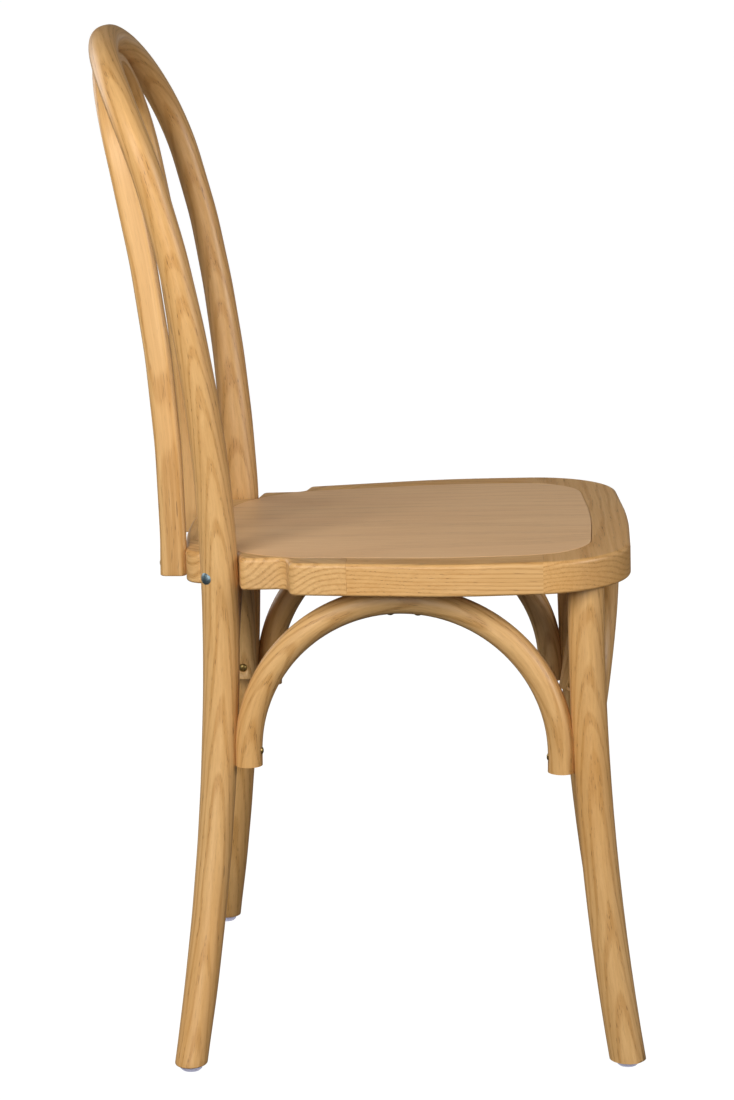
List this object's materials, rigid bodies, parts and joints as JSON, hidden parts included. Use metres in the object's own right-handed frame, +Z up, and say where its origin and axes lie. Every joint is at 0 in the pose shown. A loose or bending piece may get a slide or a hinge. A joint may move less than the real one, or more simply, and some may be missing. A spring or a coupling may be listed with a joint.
{
  "type": "bentwood hoop-back chair",
  "caption": "Wooden dining chair: a bent hoop forms the rear legs and back around an inner hoop, with a rounded framed seat and arched braces.",
  "frame": {"origin": "on the floor, below the middle of the chair's width and depth", "axes": "+Z up, the sitter faces -Y, +X is the sitter's left"},
  "size_m": [0.4404, 0.4854, 0.89],
  "materials": {
    "lacquered_oak": "satin lacquer",
    "panel_veneer": "satin lacquer",
    "dowel_beech": "raw",
    "zinc_steel": "zinc plated",
    "yellow_zinc": "yellow passivated",
    "glide_plastic": "matte"
  },
  "bodies": {
    "root": {"back_hoop": "lacquered_oak", "inner_hoop": "lacquered_oak", "seat_front_rail": "lacquered_oak", "seat_left_rail": "lacquered_oak", "seat_right_rail": "lacquered_oak", "seat_left_rear_corner": "lacquered_oak", "seat_right_rear_corner": "lacquered_oak", "seat_rear_rail": "lacquered_oak", "front_leg_left": "lacquered_oak", "front_leg_right": "lacquered_oak", "side_brace_left": "lacquered_oak", "side_brace_right": "lacquered_oak", "front_brace": "lacquered_oak", "rear_brace": "lacquered_oak", "seat_panel": "panel_veneer", "frame_dowels": "dowel_beech", "rear_leg_bolts": "zinc_steel", "threaded_inserts": "zinc_steel", "glide_nails": "zinc_steel", "brace_leg_screws": "yellow_zinc", "brace_seat_screws": "yellow_zinc", "inner_hoop_screws": "yellow_zinc", "hoop_crown_screws": "yellow_zinc", "glide_front_left": "glide_plastic", "glide_front_right": "glide_plastic", "glide_rear_left": "glide_plastic", "glide_rear_right": "glide_plastic"}
  },
  "joints": []
}
